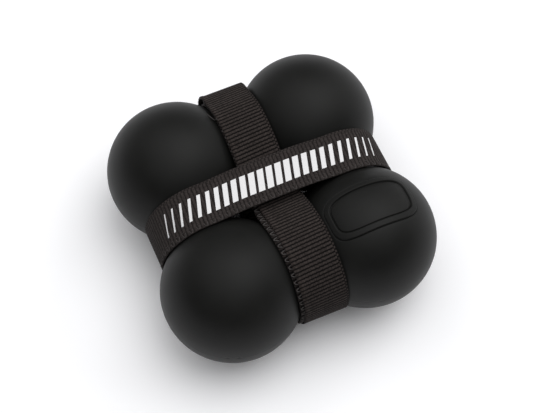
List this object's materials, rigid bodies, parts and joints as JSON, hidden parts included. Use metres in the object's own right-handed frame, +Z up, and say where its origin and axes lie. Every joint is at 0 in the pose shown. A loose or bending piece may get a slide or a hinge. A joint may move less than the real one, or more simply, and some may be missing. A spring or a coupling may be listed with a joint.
{
  "type": "spine massager",
  "caption": "Spine massager: a square cluster of smooth rubber balls bound by two crossing webbing straps that close with hook and loop.",
  "frame": {"origin": "on the floor, in the middle of the square of balls", "axes": "+X along the printed strap, to the right as the picture's front is faced; +Y along the plain strap, to the back; +Z up"},
  "size_m": [0.1548, 0.1548, 0.0767],
  "materials": {
    "ball_rubber": "smooth matt black moulded rubber",
    "link_rubber": "matt black moulded rubber",
    "plain_webbing": "ribbed brown-black woven webbing",
    "printed_webbing": "ribbed brown-black woven webbing with a plain white print",
    "hook_tape": "black moulded hooks on a woven tape",
    "loop_tape": "black brushed loop pile"
  },
  "bodies": {
    "cluster": {"ball_front_left": "ball_rubber", "ball_front_right": "ball_rubber", "ball_back_left": "ball_rubber", "ball_back_right": "ball_rubber", "link_front": "link_rubber", "link_back": "link_rubber", "link_left": "link_rubber", "link_right": "link_rubber", "plain_strap_band": "plain_webbing", "plain_strap_loop_patch": "loop_tape", "printed_strap_band": "printed_webbing", "printed_strap_loop_patch": "loop_tape"},
    "plain_strap_free_end": {"plain_strap_end": "plain_webbing", "plain_strap_hook_patch": "hook_tape"},
    "printed_strap_free_end": {"printed_strap_end": "printed_webbing", "printed_strap_hook_patch": "hook_tape"}
  },
  "joints": [
    {"name": "plain_strap_peel", "type": "hinge", "parent": "cluster", "child": "plain_strap_free_end", "pos_m": [0, 0.06895, 0.05393], "axis": [1, 0, 0], "range_deg": [0, 150]},
    {"name": "printed_strap_peel", "type": "hinge", "parent": "cluster", "child": "printed_strap_free_end", "pos_m": [0.0703, 0, 0.02531], "axis": [0, -1, 0], "range_deg": [0, 150]}
  ]
}
